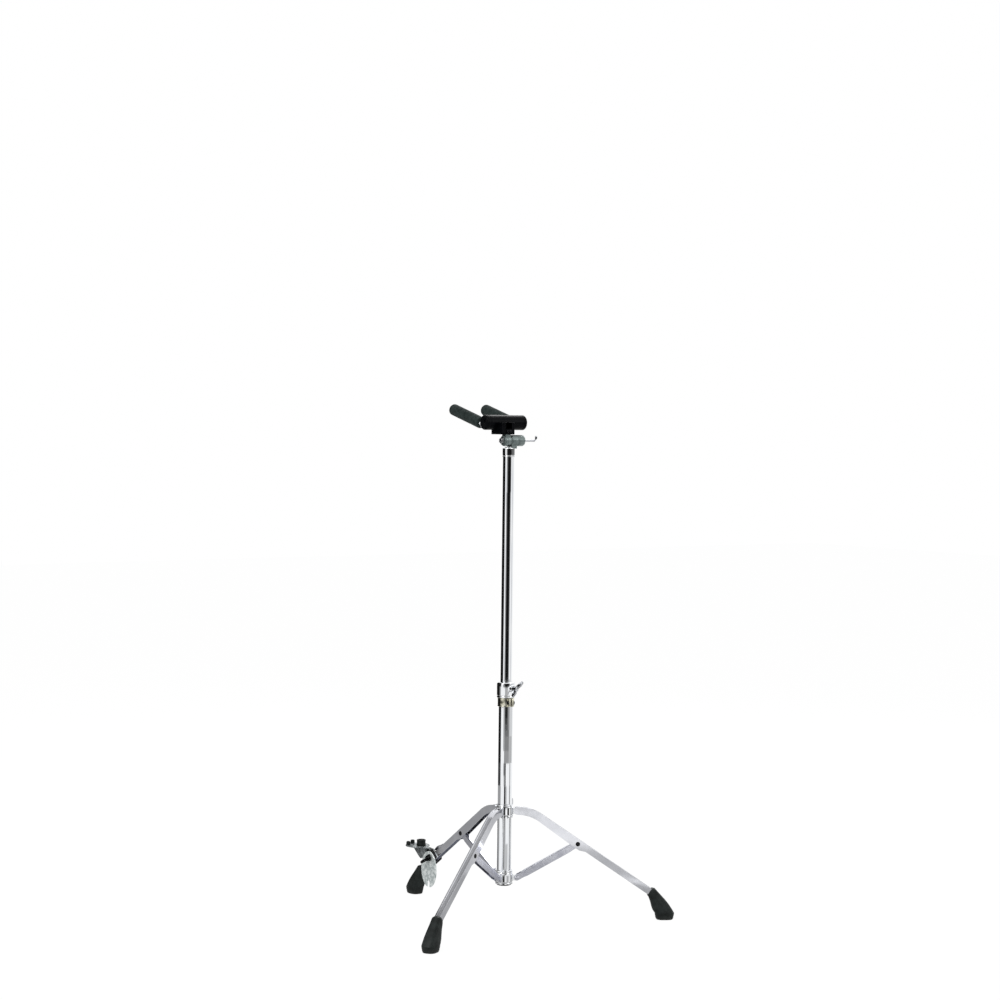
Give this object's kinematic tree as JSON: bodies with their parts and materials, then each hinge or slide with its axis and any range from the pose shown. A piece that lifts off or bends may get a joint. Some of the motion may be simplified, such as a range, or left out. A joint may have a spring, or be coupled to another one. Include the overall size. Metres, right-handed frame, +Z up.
{
  "type": "folding instrument stand",
  "caption": "Folding tripod stand for a tall string instrument, with a telescoping post, a tilting padded yoke and an adjustable endpin rest on one leg.",
  "frame": {"origin": "on the floor, under the middle of the open stand's bounding box", "axes": "+Z up along the post; -Y towards the leg that carries the endpin rest and the way the padded arms point; +X towards the side of the rest's oval plate"},
  "size_m": [0.6622, 0.5776, 1.1342],
  "materials": {
    "chrome": "polished chrome plate",
    "steel": "bright zinc plate",
    "satin": "satin grey casting",
    "black_plastic": "moulded, fine texture",
    "black_metal": "black coat",
    "rubber": "moulded rubber",
    "foam": "closed-cell foam",
    "nylon": "natural nylon",
    "brass": "nickelled brass, dulled"
  },
  "bodies": {
    "post": {"lower_tube": "chrome", "tube_plug": "black_plastic", "stay_collar": "steel", "clamp_ring": "brass", "clamp_ring_screw": "chrome", "clamp_housing": "chrome", "split_bush": "nylon"},
    "stay_a": {"stay_a": "steel", "stay_pin_a": "steel"},
    "stay_b": {"stay_b": "steel", "stay_pin_b": "steel"},
    "stay_c": {"stay_c": "steel", "stay_pin_c": "steel"},
    "leg_a": {"leg_a": "chrome", "foot_a": "rubber", "leg_rivet_a": "black_metal"},
    "leg_b": {"leg_b": "chrome", "foot_b": "rubber", "leg_rivet_b": "black_metal"},
    "leg_c": {"leg_c": "chrome", "foot_c": "rubber", "leg_rivet_c": "black_metal"},
    "leg_collar": {"leg_collar": "steel", "leg_hinge_pin_a": "steel", "leg_hinge_pin_b": "steel", "leg_hinge_pin_c": "steel"},
    "leg_wing_bolt": {"leg_wing_bolt": "chrome"},
    "clamp_wing_bolt": {"clamp_wing_bolt": "chrome"},
    "glide": {"glide_bush": "nylon"},
    "mast": {"upper_tube": "chrome", "tilter_base": "satin", "tilter_nut": "chrome"},
    "tilter_lever": {"tilter_lever": "chrome"},
    "yoke": {"yoke_hub": "satin", "cross_block": "black_plastic", "cross_screw_1": "steel", "cross_screw_2": "steel", "cross_cap_near": "black_plastic", "cross_cap_far": "black_plastic", "arm_rod_near": "chrome", "arm_rod_far": "chrome", "arm_nut_near": "chrome", "arm_nut_far": "chrome", "arm_pad_near": "foam", "arm_pad_far": "foam"},
    "rest": {"rest_saddle": "black_metal", "rest_strap": "steel", "rest_cheek": "satin", "rest_hinge_pin": "black_metal"},
    "rest_tray": {"rest_tray": "satin", "rest_cup": "rubber", "rest_stud_1": "rubber", "rest_stud_2": "rubber", "rest_stud_3": "rubber"},
    "rest_wing_bolt": {"rest_wing_bolt": "black_plastic"}
  },
  "joints": [
    {"name": "stay_a_fold", "type": "hinge", "parent": "post", "child": "stay_a", "pos_m": [0, 0.06208, 0.094], "axis": [-1, 0, 0], "range_deg": [0, 50]},
    {"name": "stay_b_fold", "type": "hinge", "parent": "post", "child": "stay_b", "pos_m": [0.02425, 0.10408, 0.094], "axis": [0.5, -0.866, 0], "range_deg": [0, 50]},
    {"name": "stay_c_fold", "type": "hinge", "parent": "post", "child": "stay_c", "pos_m": [-0.02425, 0.10408, 0.094], "axis": [0.5, 0.866, 0], "range_deg": [0, 50]},
    {"name": "leg_a_fold", "type": "hinge", "parent": "stay_a", "child": "leg_a", "pos_m": [0, -0.07211, 0.1675], "axis": [-1, 0, 0], "range_deg": [-100, 0]},
    {"name": "leg_b_fold", "type": "hinge", "parent": "stay_b", "child": "leg_b", "pos_m": [0.14046, 0.17117, 0.1675], "axis": [0.5, -0.866, 0], "range_deg": [-100, 0]},
    {"name": "leg_c_fold", "type": "hinge", "parent": "stay_c", "child": "leg_c", "pos_m": [-0.14046, 0.17117, 0.1675], "axis": [0.5, 0.866, 0], "range_deg": [-100, 0]},
    {"name": "leg_collar_slide", "type": "slide", "parent": "post", "child": "leg_collar", "axis": [0, 0, 1], "range_m": [0, 0.1531]},
    {"name": "leg_bolt_turn", "type": "hinge", "parent": "leg_collar", "child": "leg_wing_bolt", "pos_m": [0, 0.09008, 0.242], "axis": [-0.866, -0.5, 0], "range_deg": [0, 360]},
    {"name": "clamp_bolt_turn", "type": "hinge", "parent": "post", "child": "clamp_wing_bolt", "pos_m": [0, 0.09008, 0.5113], "axis": [-0.0872, 0.9962, 0], "range_deg": [0, 360]},
    {"name": "mast_height", "type": "slide", "parent": "post", "child": "glide", "axis": [0, 0, 1], "range_m": [-0.26, 0.065]},
    {"name": "mast_turn", "type": "hinge", "parent": "glide", "child": "mast", "pos_m": [0, 0.09008, 0.36], "axis": [0, 0, 1], "continuous": true},
    {"name": "lever_turn", "type": "hinge", "parent": "mast", "child": "tilter_lever", "pos_m": [0, 0.09008, 1.055], "axis": [-1, 0, 0], "range_deg": [0, 180]},
    {"name": "yoke_tilt", "type": "hinge", "parent": "mast", "child": "yoke", "pos_m": [0, 0.09008, 1.055], "axis": [-1, 0, 0], "range_deg": [-45, 60]},
    {"name": "rest_slide", "type": "slide", "parent": "leg_a", "child": "rest", "axis": [0, -0.829, -0.5592], "range_m": [-0.069, 0.015]},
    {"name": "tray_tilt", "type": "hinge", "parent": "rest", "child": "rest_tray", "pos_m": [0, -0.20341, 0.10644], "axis": [-1, 0, 0], "range_deg": [-10, 75]},
    {"name": "rest_bolt_turn", "type": "hinge", "parent": "rest", "child": "rest_wing_bolt", "pos_m": [0, -0.18549, 0.09417], "axis": [1, 0, 0], "range_deg": [0, 360]}
  ],
  "couplings": [
    {"joint": "stay_b_fold", "follows": "stay_a_fold", "ratio": 1},
    {"joint": "stay_c_fold", "follows": "stay_a_fold", "ratio": 1},
    {"joint": "leg_a_fold", "follows": "stay_a_fold", "ratio": -2},
    {"joint": "leg_b_fold", "follows": "stay_a_fold", "ratio": -2},
    {"joint": "leg_c_fold", "follows": "stay_a_fold", "ratio": -2},
    {"joint": "leg_collar_slide", "follows": "stay_a_fold", "m_per_rad": 0.1754}
  ]
}
